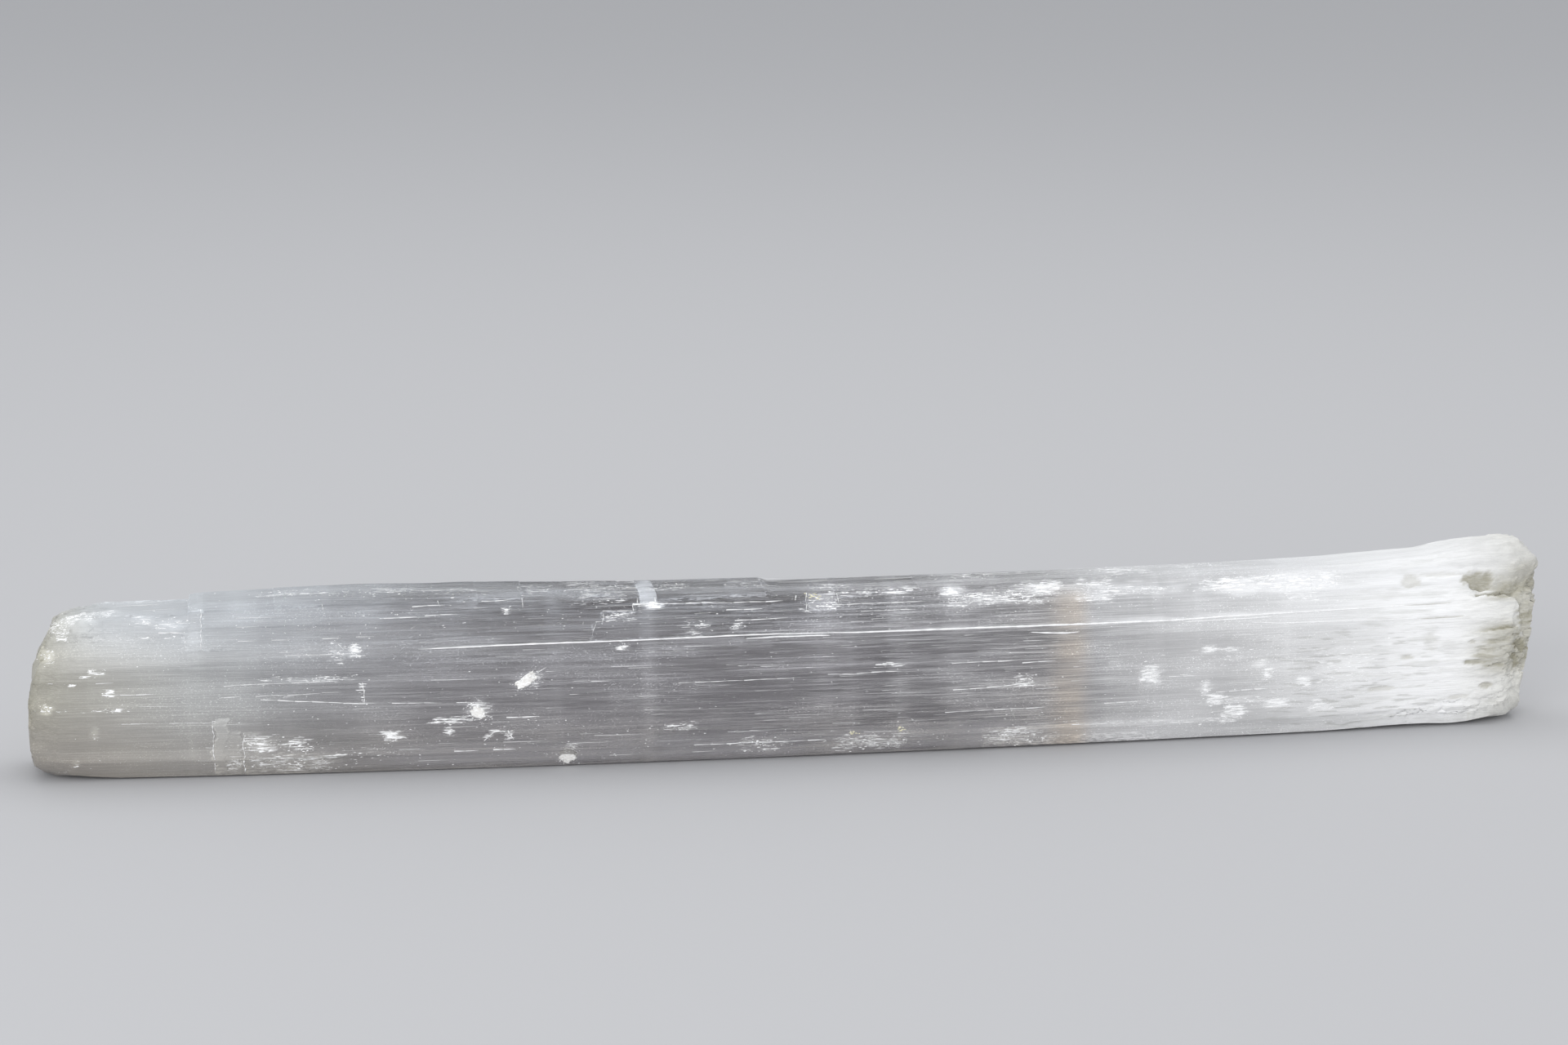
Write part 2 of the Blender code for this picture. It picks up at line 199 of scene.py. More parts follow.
# The long bright crack: (distance along, height, thickness).
CRACK = (
    (-100.8, 32.5, 0.14), (-88, 32.7, 0.4), (-74.1, 32.9, 0.5), (-45.8, 33, 0.46), (-15.1, 33.4, 0.46),
    (5.8, 33.2, 0.22), (12.7, 33, 0.5), (45.1, 33, 0.68), (73.4, 32.9, 0.7), (97.7, 32.9, 0.6),
    (106.6, 33.2, 0.5), (133.4, 33.6, 0.32), (156, 33.9, 0.24), (169.7, 34.5, 0.12),
)
CRACK_BRANCHES = (
    ((-16.6, 32.5, 0.16), (-8, 32.6, 0.5), (2, 32.6, 0.52), (5.8, 32.5, 0.18)),
    ((58.5, 31.4, 0.14), (63, 31, 0.5), (68, 30.8, 0.5), (71.8, 31, 0.14)),
    ((100, 32.4, 0.16), (112, 32.5, 0.42), (124, 32.7, 0.18)),
    ((118, 31.6, 0.1), (125.4, 31, 0.24), (153.6, 30.6, 0.24), (169.6, 30.5, 0.1)),
)
CRACK_PITCH = 0.8
CRACK_REACH = 2  # how much deeper than its section its inner edge goes, about
CRACK_LEAN = 0.2  # how far it rises for each millimetre it goes in
# Its section, from the bright lip that stands open on the face: (depth, share of the thickness up).
CRACK_SECTION = ((-0.08, 0.3), (-0.08, -0.3), (0.15, -0.5), (1.1, -0.1), (1.1, 0.1), (0.15, 0.5))

# Sunk places near the milky end: (along, height, half length, half height, how deep, how much olive shade is
# painted in it).
HOLLOWS = (
    (181.9, 40.3, 4.8, 2.3, 0.9, 0.9), (162.8, 40.5, 2.8, 1.6, 0.3, 0.35), (171, 41.9, 6, 0.5, 0.25, 0.25),
    (161.6, 20, 1.8, 0.6, 0.2, 0.45), (179.8, 23.4, 1, 0.5, 0.3, 0.6), (183.4, 20.3, 2.4, 0.8, 0.35, 0.5),
    (180.8, 17.6, 3.4, 0.7, 0.5, 0.85), (184.4, 10.8, 2, 0.8, 0.4, 0.7), (154.8, 11.5, 3.6, 0.7, 0.2, 0.35),
    (168.5, 34.5, 6.5, 0.2, 0.45, 0.36), (171, 30.9, 9, 0.2, 0.5, 0.42), (168, 24, 1.8, 2.6, 0.1, 0.15),
    (165.5, 2, 4.5, 0.8, 0.3, 0.3), (180, 1.5, 0.4, 1.8, 0.5, 0.5), (186.5, 36.8, 5, 0.6, 0.5, 0.8),
    (190, 36, 6, 1, 0.5, 0.8), (176.5, 8, 3, 0.6, 0.2, 0.3),
)
# The shell-like ledge of the milky end, as (distance along, height); the crystal is sunk above it.
SHELL = ((176, 35.8), (182, 35.9), (189.2, 36), (191.6, 35), (193.4, 32.6), (197, 27))
# Where its right edge ends and the dark rim begins, as (height, distance along).
SHELL_RIM = ((18, 197.5), (24, 195.6), (29, 194.4), (33.5, 193), (36, 191.4))
RIM_STRENGTH = 0.712
# Painted olive shade in the recesses of the rough of the milky end: (left, right, low, high, strength).
OLIVE = (
    (185.5, 206, 35, 41.5, 0.8), (187, 206, 34.5, 36.5, 1), (194.5, 206, 24, 32, 1),
    (182, 206, 15, 26, 0.85), (196, 206, 0, 46, 0.5), (184, 206, 0, 7, 0.25),
)

# Pockets of powder: (along, height, half length, half height, lean, how cornered).
POCKETS = {
    "slanting_pocket": (-73.4, 23.5, 2.7, 2.1, 0.26, 0.5),
    "bright_pocket": (-85.8, 15.8, 2.1, 1.9, -0.1, 0.25),
    "cream_pocket": (-62.9, 2.9, 2.1, 2, 0, 0),
}
POCKET_DEPTH = 0.12  # of its middle
POCKET_HALF_THICKNESS = 0.35

# Broken shards by where they lie: (sizes to draw from, how deep they reach).
SHARDS = {
    "scar": ((0.15, 0.2, 0.25, 0.3, 0.45, 0.6), 0.08),
    "top scar": ((0.15, 0.2, 0.3, 0.5), 0.1),
    "pocket": ((0.12, 0.16, 0.2, 0.3), 0.05),
    "front": ((0.14, 0.18, 0.22, 0.32), 0.06),
    "top": ((0.15, 0.2, 0.4), 0.3),
    "back": ((0.15, 0.25, 0.5), 0.3),
}
POCKET_SHARDS = 140  # round each pocket
FRONT_SHARDS = 2400  # loose ones, many of them near the front's edges
# The other loose shards: (side, how many, left, right, and how far across they lie).
LOOSE_SHARDS = (("top", 400, -180, 150, -8, 8), ("back", 900, -185, 180, 2, 41))
# Faint fibres: (side, how many, and how far across they lie).
FAINT_FIBRES = (("front", 900, 2, 42.5), ("top", 220, -9, 8), ("back", 420, 2, 41))
# Stained grains: (along, height, reach, how many).
STAINS = ((2.4, 42.2, 1.2, 22), (24.2, 6.8, 0.4, 12), (11.8, 6.4, 0.8, 9))

# --- Finishes ---
GYPSUM_IOR = 1.52
MILK_SPAN = 400  # the milk's shares run over this length, half of it on either side of the middle
# Colour of the milk along the blade, and how thick it is: (share of the length, colour) and (share, amount).
MILK_COLOUR = (
    (0, (0.47, 0.45, 0.36)), (0.05, (0.57, 0.56, 0.51)), (0.1, (0.57, 0.58, 0.57)),
    (0.16, (0.48, 0.49, 0.5)), (0.26, (0.53, 0.53, 0.55)), (0.5, (0.7, 0.69, 0.72)),
    (0.63, (0.82, 0.82, 0.83)), (0.8, (0.8, 0.8, 0.8)), (0.88, (0.84, 0.84, 0.84)), (0.93, (0.9, 0.9, 0.9)),
    (1, (0.8, 0.79, 0.74)),
)
MILK_AMOUNT = (
    (0, 0.56), (0.06, 0.56), (0.16, 0.42), (0.25, 0.2), (0.36, 0.07), (0.45, 0.05), (0.58, 0.09),
    (0.66, 0.16), (0.7, 0.42), (0.78, 0.58), (0.88, 0.92), (1, 1),
)
# Pale bands across the blade: (along, half width, strength).
PALE_BANDS = ((-146, 6, 0.5), (-113, 8, 0.4), (-42, 3.5, 0.75), (4, 9, 0.6), (24, 5, 0.5),
              (38, 6, 0.5), (101, 12, 0.4))
# The iron tint, as places along: it begins, its band begins, is at its full from here to here, and ends.
IRON_BAND = (44, 61, 68.5, 70.5, 76.5)
# grey mottling of the milky end, and painted shade on its top
DULL_MILK_AND_TOP_SHADE = (0.66, 0.66, 0.64, 1)
GREY_DASH = (0.56, 0.56, 0.54, 1)
# painted shade on the upper edge over the right half, darker at the top
PAINTED_TOP_SHADE = (0.6, 0.6, 0.61, 1)
# painted shade towards the foot, partly the crystal's own brown
WARM_SHADE = (0.39, 0.36, 0.32, 1)
# painted light: a cool sheen high on the left of the blade
PAINTED_COOL_LIGHT = (0.64, 0.68, 0.73, 1)
IRON_TINT = (0.64, 0.5, 0.35, 1)
FLAKE_WHITE = (0.97, 0.97, 0.97, 1)
# painted shade: the olive darkening painted into the recesses of the milky end
OLIVE_SHADOW = (0.36, 0.34, 0.26, 1)
CLEAR_GYPSUM = (0.94, 0.94, 0.95, 1)
SMOKY_DEPTHS, SMOKINESS = (0.54, 0.52, 0.53, 1), 88  # what the clear crystal absorbs
# Powdery finishes: (light, dark, roughness).
POWDERS = {
    "broken fibre": ((0.96, 0.96, 0.96), (0.84, 0.84, 0.84), 0.5),
    "stained grain": ((0.8, 0.76, 0.58), (0.63, 0.6, 0.41), 0.6),
    "powdery pocket": ((0.95, 0.95, 0.94), (0.74, 0.72, 0.69), 0.7),
}

# --- Stage ---
# Places and the softboxes' sizes are in metres here.
CAMERA_PLACE = (-0.13854, -0.93172, 0.27423)
CAMERA_AIM = (-0.00458, -0.00071, 0.05984)
CAMERA_LENS = 85
ROOM_COLOUR, ROOM_STRENGTH = (0.95, 0.97, 1, 1), 0.84
FLOOR_COLOUR, FLOOR_ROUGHNESS = (0.45, 0.45, 0.46, 1), 0.95
FLOOR_REACH = 6000
FLOOR_GAP = 0.3
# Softboxes: name, place, length and breadth, power in watts.
SOFTBOXES = (
    ("overhead softbox", (0.15, 0.35, 1.3), (1.8, 1), 7.3),
    ("front softbox", (-0.7, -1.4, 0.6), (1.2, 0.9), 14.6),
)
SOFTBOX_AIM = (0, 0, 0.02)


# --- Shared sums and makers ---
def smooth(low, high, value):
    """Goes smoothly from nothing at low to one at high; low may be the larger number."""
    share = min(max((value - low) / (high - low), 0), 1)
    return share * share * (3 - 2 * share)


def between(value, low, high, edge):
    """One from low to high, falling to nothing over a soft edge at either."""
    return smooth(low - edge, low + edge, value) * smooth(high + edge, high - edge, value)


def soft_box(along, height, left, right, low, high, edge):
    """One inside a box on the blade's side, falling to nothing over its edge."""
    return between(along, left, right, edge) * between(height, low, high, edge)


def oval(along, height, middle, level, half_length, half_height):
    """How far out this is from the middle of an oval, whose edge is at one."""
    return math.hypot((along - middle) / half_length, (height - level) / half_height)


def patches(first, first_size, second, second_size, seed):
    """Smooth noise, about -1 to 1, whose patches have these two sizes; each seed has its own pattern."""
    return noise.noise((first / first_size, second / second_size, seed))


def broken_plates(along, depth, height, length, thickness, breadth):
    """Nothing to one: the level of the broken cleavage plate here, the same all over each plate."""
    spot = Vector((along / length, depth / thickness, height / breadth))
    bent = [0.6 * noise.noise(spot + Vector((4.7, 9.2, 2.3)) * axis) for axis in range(1, 4)]
    return noise.cell(spot + Vector(bent))


def interpolate(points, along):
    """The other values of a line of points, at a distance along."""
    for start, end in zip(points, points[1:]):
        if along <= end[0]:
            share = max((along - start[0]) / (end[0] - start[0]), 0)
            return [a + (b - a) * share for a, b in zip(start[1:], end[1:])]
    return list(points[-1][1:])


def shown(name, bm, finish):
    """Turns a shape in millimetres into an object of the scene."""
    bmesh.ops.scale(bm, vec=(MM, MM, MM), verts=bm.verts)
    mesh = bpy.data.meshes.new(name)
    bm.to_mesh(mesh)
    bm.free()
    mesh.materials.append(finish)
    made = bpy.data.objects.new(name, mesh)
    bpy.context.scene.collection.objects.link(made)
    return made


def piece(name, bm, finish, smooth_shaded=True):
    """Makes one of the blade's own pieces."""
    made = shown(name, bm, finish)
    if smooth_shaded:
        made.data.shade_smooth()
    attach(made, "root")
    return made


class Skin:
    """A closed surface to measure from, in millimetres."""

    def __init__(self, bm):
        self.tree = BVHTree.FromBMesh(bm)

    def hit(self, start, towards):
        return self.tree.ray_cast(Vector(start), Vector(towards).normalized())[0]

    def middle(self, along):
        """The middle of the section at a distance along the blade."""
        start = Vector((along, 0, HALF_HEIGHT))
        front, back = (self.hit(start, (0, way, 0)) for way in (-1, 1))
        return Vector((along, (front.y + back.y) / 2, HALF_HEIGHT))

    def under(self, side, along, across, depth, steepest=0.35):
        """A place under the front or back (across is a height) or the top, or None where it is too steep."""
        if side == "top":
            start, towards = Vector((along, across, OVER_TOP)), Vector((0, 0, -1))
        else:
            way = 1 if side == "front" else -1
            start, towards = Vector((along, -OFF_SIDE * way, across)), Vector((0, way, 0))
        spot, normal = self.tree.ray_cast(start, towards)[:2]
        return spot - normal * depth if spot and abs(normal.dot(towards)) > steepest else None


# --- The crystal's stations and lines ---
def side_points():
    """Offsets from the middle of the section to points round its box, each with the side it is on."""
    ways = ((-1, -1), (-1, 1), (1, 1), (1, -1), (-1, -1))
    corners = [(out * HALF_DEPTH, up * HALF_HEIGHT) for out, up in ways]
    points = []
    around = 0
    for side, start, end in zip(("front", "top", "back", "foot"), corners, corners[1:]):
        length = math.dist(start, end)
        count = round(length / LINE_PITCH[side])
        for index in range(count):
            share = index / count
            depth, height = (a + (b - a) * share for a, b in zip(start, end))
            points.append((side, depth, height, around + length * share))
        around += length
    return points


def sharp_ends(plate):
    """Where a plate ends in a step along the blade, and doesn't thin out."""
    left, right, *_, fade = plate
    if fade > 0:
        return (left,)
    return (right,) if fade < 0 else (left, right)


def stations():
    """Places along the blade, as (distance of the core, offset towards the end, share of the section)."""
    body = HALF_LENGTH - END_REACH
    places = set()
    for start, stop, pitch in ((-body, MILKY_START, STATION_PITCH), (MILKY_START, body, MILKY_PITCH)):
        count = round((stop - start) / pitch)
        places |= {round(start + (stop - start) * index / count, 3) for index in range(count + 1)}
    ends = {end for plate in PLATES for end in sharp_ends(plate)}
    places = {place for place in places if min(abs(place - end) for end in ends) > 0.5 * STATION_PITCH}
    places |= {round(end + offset, 3) for end in ends for offset in STEP_OFFSETS} | {-body, body}
    result = [(place, 0, 1) for place in sorted(places) if abs(place) <= body]
    fans = round(END_REACH / FAN_PITCH)
    rings = round(HALF_HEIGHT / RING_PITCH)
    for way in (-1, 1):
        end = [(way * body, way * END_REACH * step / fans, 1) for step in range(1, fans + 1)]
        end += [(way * body, way * END_REACH, 1 - step / rings) for step in range(1, rings + 1)]
        result = end[::-1] + result if way < 0 else result + end
    return result


def jag(along, height):
    """How far the stations near a plate's end are moved along, so that the end is broken and not sawn."""
    near = max(smooth(4, 0.5, abs(along - end)) for plate in PLATES for end in plate[:2])
    if not near:
        return 0
    return near * JAG * (patches(height, 2.3, along, 9, 0.4) + 0.5 * patches(height, 0.8, along, 9, 7.7))


# --- The crystal's relief ---
def on_front(side, depth, reach):
    """Whether this is on the front, or on the top within this reach of it."""
    return side == "front" or (side == "top" and depth < reach)


def terrace(value):
    """Turns a slope into flat treads with steep risers."""
    level = value * TREADS
    base = math.floor(level)
    return (base + smooth(0.3, 0.7, level - base)) / TREADS


def rib(side, around, along):
    """How deep the fibres are cut here: long treads of broken cleavage, with finer ribs on them."""
    coarse = terrace(patches(around, 2.6, along, 150, 1.7))
    middle = patches(around, 1.2, along, 80, 5.1)
    fine = patches(around, 0.6, along, 40, 9.3)
    ribbed = 0.4 + 0.6 * smooth(-150, -95, along) * smooth(100, 65, along)
    return ribbed * RIB_DEPTH[side] * (0.14 * coarse + 0.07 * middle + 0.035 * fine)


def plates_here(along, height):
    """How far the plates stand out here, and how pale they are."""
    rise = pale = 0
    for left, right, low, high, step, tone, fade in PLATES:
        if low <= height < high and left <= along < right:
            kept = 1
            if fade > 0:
                kept = smooth(right, right - fade, along)
            elif fade < 0:
                kept = smooth(left, left - fade, along)
            rise += step * kept
            pale = max(pale, tone * kept)
    return rise, pale


def crumbled(scars, along, across):
    """How thickly fibres are broken here, with the scars' outlines frayed along the fibres."""
    most = 0
    for left, right, low, high, thick in scars:
        if left - 3 < along < right + 3 and low - 1.5 < across < high + 1.5:
            fray = min((right - left) * 0.35, 3) * patches(along, 7, across, 0.55, 2.6)
            lean = min((high - low) * 0.35, 0.9) * patches(along, 2.4, across, 2, 6.1)
            most = max(most, thick * soft_box(along + fray, across + lean, left, right, low, high, 0.35))
    return most


def chalk_here(side, along, depth, height):
    """How chalky with broken fibres the surface is here."""
    if on_front(side, depth, -6):
        return crumbled(SCARS, along, height)
    if side == "top":
        return crumbled(TOP_SCARS, along, depth) * smooth(-0.2, 0.15, patches(along, 6, depth, 2, 7.7))
    gathered = smooth(-0.1, 0.35, patches(along, 48, height, 18, 5.1))
    chalk = 0.5 * smooth(0.15, 0.6, patches(along, 15, height, 1.5, 3.3))
    return chalk * (0.12 + 0.88 * gathered) * smooth(0, 4, height)


def veiled(along, height):
    """How pale the cloudy places make the crystal here."""
    most = 0
    for middle, level, half_length, half_height, strength in VEILS:
        if abs(along - middle) < half_length * 1.3 and abs(height - level) < half_height * 1.3:
            reach = oval(along, height, middle, level, half_length, half_height)
            reach += 0.5 * patches(along, 4, height, 0.7, 5.8)
            most = max(most, strength * smooth(1.05, 0.15, reach))
    return most


def chipped(along, depth, height):
    """How deep the upper corner of the thin end is chipped."""
    near = smooth(-176, -184, along) * smooth(34, 39, height)
    return near * 0.5 * broken_plates(along, depth, height, 3, 1.4, 1.4) if near else 0


def worn(spot):
    """How deep the last few millimetres before either end are worn."""
    strength = (0.35 if spot.x > 0 else 0.14) * smooth(190, 197, abs(spot.x))
    return strength * (0.6 + noise.noise(spot / 2.4) + 0.25 * noise.noise(spot / 1.1)) if strength else 0


class MilkyEnd:
    """The rough of the milky end at one place: how deep it is cut, and how much olive shade is painted in its
    recesses.
    """

    def __init__(self, side, along, depth, height, strength):
        self.along, self.depth, self.height = along, depth, height
        self.flute = noise.noise((along / 26, depth / 1.9, height / 1.7))
        self.flute += 0.5 * noise.noise((along / 9, depth / 0.9, height / 0.8 + 7))
        self.plates = broken_plates(along, depth, height, 12, 2.4, 2.4)
        self.over = height - interpolate(SHELL, along)[0] - 0.4 * noise.noise((along / 2, 1, 1))
        self.begun = smooth(178, 183, along)
        self.shell = self.begun * smooth(-7.5, -5, self.over) * smooth(0.3, 0, self.over)
        self.cut = self.rough(strength)
        self.olive = self.streaks()
        if side in ("front", "top"):
            self.add_ledge()
            self.add_hollows()
        self.add_shadows()

    def rough(self, strength):
        """Flutes and broken plates, which are shallow on the smooth shell."""
        near_end = smooth(172, 194, self.along)
        cut = (0.1 * strength + 0.3 * near_end) * self.plates
        cut += (0.04 * strength + 0.2 * near_end) * self.finer_plates(5, 0.9)
        cut += smooth(0.05, 0.75, self.flute) * (0.05 * strength + 0.3 * near_end)
        cut *= 1 - 0.7 * self.shell
        crumbly = smooth(11, 4, self.height) * smooth(148, 165, self.along)
        return cut + crumbly * 0.45 * self.finer_plates(2.2, 1.3)

    def finer_plates(self, length, breadth):
        return broken_plates(self.along, self.depth, self.height, length, breadth, breadth)

    def streaks(self):
        """Painted olive shade in the flutes, most of it half way up."""
        along, height = self.along, self.height
        shaded = 0.35 + 0.6 * smooth(-0.1, 0.45, self.flute + 0.3 * (self.plates - 0.5))
        shaded *= smooth(12, 16, height) * smooth(29, 26.5, height)
        olive = smooth(174, 190, along) * (0.12 + 0.85 * shaded) + 0.15 * smooth(186, 196, along)
        olive += 0.35 * smooth(187, 194, along) * smooth(30, 33, height) * smooth(45, 42, height)
        olive += 0.2 * smooth(180, 188, along) * smooth(12, 16, height) * smooth(31, 27, height)
        return olive

    def add_ledge(self):
        """The shell's bright lip, the sunk shelf over it, and the dark rim past its right edge, with painted
        olive shade on the shelf and the rim.
        """
        shelf = smooth(0, 0.3, self.over) * smooth(42.5, 38.5, self.height) * self.begun
        lip = smooth(-2.2, -0.4, self.over) * smooth(0.2, 0, self.over) * self.begun
        rim = smooth(0, 0.6, self.along - interpolate(SHELL_RIM, self.height)[0])
        rim *= RIM_STRENGTH * between(self.height, 20, 34.5, 2)
        shelf *= 1 - rim
        self.cut += 1.7 * shelf + 1.1 * rim - 0.3 * lip
        self.olive *= (1 - 0.8 * self.shell) * (1 - lip)
        self.olive = max(self.olive, 0.9 * shelf * smooth(184.5, 190, self.along), 0.95 * rim)

    def add_hollows(self):
        for middle, level, half_length, half_height, deep, olive in HOLLOWS:
            if abs(self.along - middle) < half_length * 1.4:
                reach = oval(self.along, self.height, middle, level, half_length, half_height)
                reach += 0.35 * patches(self.along, 1.6, self.height, 0.9, 8.8)
                self.cut += deep * smooth(1.1, 0.7, reach)
                # painted olive shade in the hollow
                self.olive = max(self.olive, olive * smooth(1.15, 0.85, reach))

    def add_shadows(self):
        """Painted olive shade in the boxes, frayed along the fibres and streaked like the flutes."""
        streaks = min(max(0.8 + 0.9 * self.flute, 0), 1)
        frayed = self.along + 6 * patches(self.along, 20, self.height, 1.3, 4.4)
        for *box, shade in OLIVE:
            self.olive = max(self.olive, shade * streaks * soft_box(frayed, self.height, *box, 1.8))


class Place:
    """What the crystal's surface is like at one vertex."""

    def __init__(self, side, station, spot, around, share):
        along, height = spot.x, spot.z
        depth = spot.y - BOW * along ** 2
        self.plate_rise = self.pale = self.olive = 0
        if on_front(side, depth, 6):
            self.plate_rise, self.pale = plates_here(station, height)
        if side == "top":
            self.pale *= smooth(6, -2, depth + 7 * patches(along, 1.3, depth, 5, 2.2))
        if on_front(side, depth, -6):
            self.pale = max(self.pale, veiled(along, height))
        self.chalk = chalk_here(side, along, depth, height)
        cut = SKIN[side] - self.plate_rise + rib(side, around, station)
        cut += 0.16 * self.chalk * (0.5 + noise.noise((along / 1.9, height / 0.8, depth / 0.8)))
        milky = smooth(MILKY_START, MILKY_FULL, along)
        if milky:
            rough = MilkyEnd(side, along, depth, height, milky)
            cut += rough.cut
            self.olive = rough.olive
        cut += chipped(along, depth, height)
        cut += worn(spot)
        if side == "foot":
            cut = 0
        self.on_end = smooth(0.98, 0.62, share)
        if self.on_end:
            cut += (self.end_cut(along, depth, height) - cut) * self.on_end
            self.chalk *= 1 - self.on_end
        self.cut = max(cut, 0)

    def end_cut(self, along, depth, height):
        """How deep a broken end is cut: upright plates and fibres that snapped at different lengths."""
        bundles = broken_plates(along, depth, height, 40, 2.2, 6.5)
        fibres = broken_plates(along, depth, height, 40, 0.9, 1.9)
        hackle = noise.noise(Vector((along, depth, height)) / 1.1)
        if along < 0:
            return 0.35 + 0.8 * bundles + 0.25 * fibres + 0.1 * hackle
        deep = 0.6 * bundles + 0.4 * fibres
        # painted olive shade, the more the deeper the broken end is cut
        self.olive = max(self.olive, (0.2 + 0.5 * deep) * self.on_end)
        return 0.5 + 2.4 * deep + 0.2 * hackle


def lines_merged(share):
    """How many neighbouring lines are made one, on the rings this near the middle of an end."""
    return 1 if share > 0.5 else 2 if share > 0.25 else 4 if share > 0.1 else 8


def survey(solid, places, points):
    """For each station, all round it: a spot of the solid, the way out to it, and its place."""
    rows = []
    for core, offset, share in places:
        row = []
        for side, depth, height, around in points:
            shift = jag(core, height) if not offset and side in ("front", "top") else 0
            towards = Vector((offset, depth * share, height * share))
            spot = solid.hit(solid.middle(core + shift), towards)
            station = spot.x if offset else core
            row.append((spot, towards.normalized(), Place(side, station, spot, around, share)))
        rows.append(row)
    return rows


def crystal(solid):
    """The blade's own surface, laid over the solid and cut inwards from it."""
    places = stations()
    points = side_points()
    surveyed = survey(solid, places, points)
    rows, lines = len(places), len(points)
    bm = bmesh.new()
    bmesh.ops.create_grid(bm, x_segments=lines, y_segments=rows - 1, size=0.5)
    layers = {name: bm.verts.layers.float.new(name) for name in MARKS}
    for vert in bm.verts:
        line = round((vert.co.x + 0.5) * lines) % lines
        row = round((vert.co.y + 0.5) * (rows - 1))
        line -= line % lines_merged(places[row][2])
        spot, towards, place = surveyed[row][line]
        beside = [surveyed[row][(line + way) % lines][2] for way in (-1, 1)]
        beside += [surveyed[other][line][2] for other in (row - 1, row + 1)
                   if 0 <= other < rows and abs(places[other][0] - places[row][0]) < STEP_WIDTH]
        place.lip = smooth(0.05, 0.16, max(abs(place.plate_rise - other.plate_rise) for other in beside))
        for name, layer in layers.items():
            vert[layer] = getattr(place, name)
        inwards = Vector((math.copysign(1, spot.x), 0, 0))
        vert.co = spot - towards.lerp(inwards, place.on_end) * place.cut
    bmesh.ops.remove_doubles(bm, verts=bm.verts[:], dist=1e-4)
    bmesh.ops.recalc_face_normals(bm, faces=bm.faces[:])
    for edge in bm.edges:
        edge.smooth = edge.calc_face_angle(0) < CRISP_EDGE
    return bm


# --- What is sealed in it, or lies broken on it ---
class Scatter:
    """One shape made of many small turned copies of another."""

    def __init__(self, shape):
        self.shape = shape
        self.whole = bmesh.new()
        self.carrier = bpy.data.meshes.new("carrier")

    def put(self, spot, turn, sizes):
        copy = self.shape.copy()
        bmesh.ops.transform(copy, matrix=Matrix.LocRotScale(spot, turn, Vector(sizes)), verts=copy.verts)
        copy.to_mesh(self.carrier)
        copy.free()
        self.whole.from_mesh(self.carrier)


def shard_shape():
    shape = bmesh.new()
    bmesh.ops.create_uvsphere(shape, u_segments=5, v_segments=2, radius=0.5)
    return shape


def fibre_shape():
    """A thin three-sided fibre of length one, along X, drawn out to a point."""
    shape = bmesh.new()
    bmesh.ops.create_cone(shape, cap_ends=True, segments=3, radius1=0.5, radius2=0.15, depth=1)
    bmesh.ops.rotate(shape, verts=shape.verts, cent=(0, 0, 0), matrix=Matrix.Rotation(math.pi / 2, 3, "Y"))
    return shape


def heading(along, rng, loose):
    """The way the fibres run at a distance along, turned a little."""
    return Euler((rng.uniform(-loose, loose), rng.uniform(-loose, loose) * 0.3,
                  2 * BOW * along + rng.uniform(-loose, loose) * 0.3))


def scatter_shards(skin, rng):
    """Small flat shards of broken fibre just under the skin."""
    shards = Scatter(shard_shape())

    def shard(kind, side, along, across):
        lengths, deepest = SHARDS[kind]
        size = rng.choice(lengths)
        flat = rng.uniform(0.12, 0.2)
        spot = skin.under(side, along, across, deepest * rng.random() - 0.01)
        if spot is None:
            return
        long = size * rng.uniform(0.8, 2.6)
        tall = size * rng.uniform(0.35, 0.9)
        sizes = (long, tall, flat) if side == "top" else (long, flat, tall)
        shards.put(spot, heading(along, rng, 0.5), sizes)

    for left, right, low, high, thick in SCARS:
        for _ in range(round(3 + thick * (right - left) * (high - low) * 2.6)):
            along = rng.gauss((left + right) / 2, (right - left) / 3)
            height = rng.gauss((low + high) / 2, (high - low) / 3.4)
            if height < 43:
                shard("scar", "front", along, height)
    for middle, level, half_length, half_height, lean, *_ in POCKETS.values():
        for _ in range(POCKET_SHARDS):
            out, up = rng.gauss(0, 0.9), rng.gauss(0, 0.9)
            along = middle + out * half_length + up * lean * half_height
            shard("pocket", "front", along, level + (up + out * lean) * half_height)
    for left, right, near, far, thick in TOP_SCARS:
        for _ in range(round(thick * (right - left) * (far - near) * 1.2)):
            along = rng.gauss((left + right) / 2, (right - left) / 3)
            across = rng.gauss((near + far) / 2, (far - near) / 3.2)
            shard("top scar", "top", along, across + BOW * along ** 2)
    for _ in range(FRONT_SHARDS):
        along = rng.uniform(-190, 150)
        if rng.random() < 0.4:
            height = rng.choice((rng.uniform(1, 9), rng.uniform(36, 42.5)))
        else:
            height = rng.uniform(2, 42)
        if along > -150 or rng.random() < 0.15:
            shard("front", "front", along, height)
    for side, count, left, right, near, far in LOOSE_SHARDS:
        for _ in range(count):
            shard(side, side, rng.uniform(left, right), rng.uniform(near, far))
    return shards.whole


def scatter_stains(skin, rng):
    """A few stained grains on the front."""
    grains = Scatter(shard_shape())
    for along, height, reach, count in STAINS:
        for _ in range(count):
            spot = skin.under("front", rng.gauss(along, reach), rng.gauss(height, 0.4), 0)
            size = rng.uniform(0.3, 0.8)
            if spot is not None:
                grains.put(spot, heading(along, rng, 0.6), (size * 1.5, 0.2, size * 0.7))
    return grains.whole


def wandering(first, last, rng):
    """Points from one end of an open fibre or edge to the other, straying a little to either side."""
    length, rise = (abs(end - start) for start, end in zip(first, last))
    steps = math.ceil(max(length / 4.5, rise / 1.3))
    points = []
    for step in range(steps + 1):
        along, height = (start + (end - start) * step / steps for start, end in zip(first, last))
        if rise > length:
            points.append((along + rng.uniform(-0.22, 0.22), height))
        else:
            points.append((along, height + rng.uniform(-0.08, 0.08)))
    return points


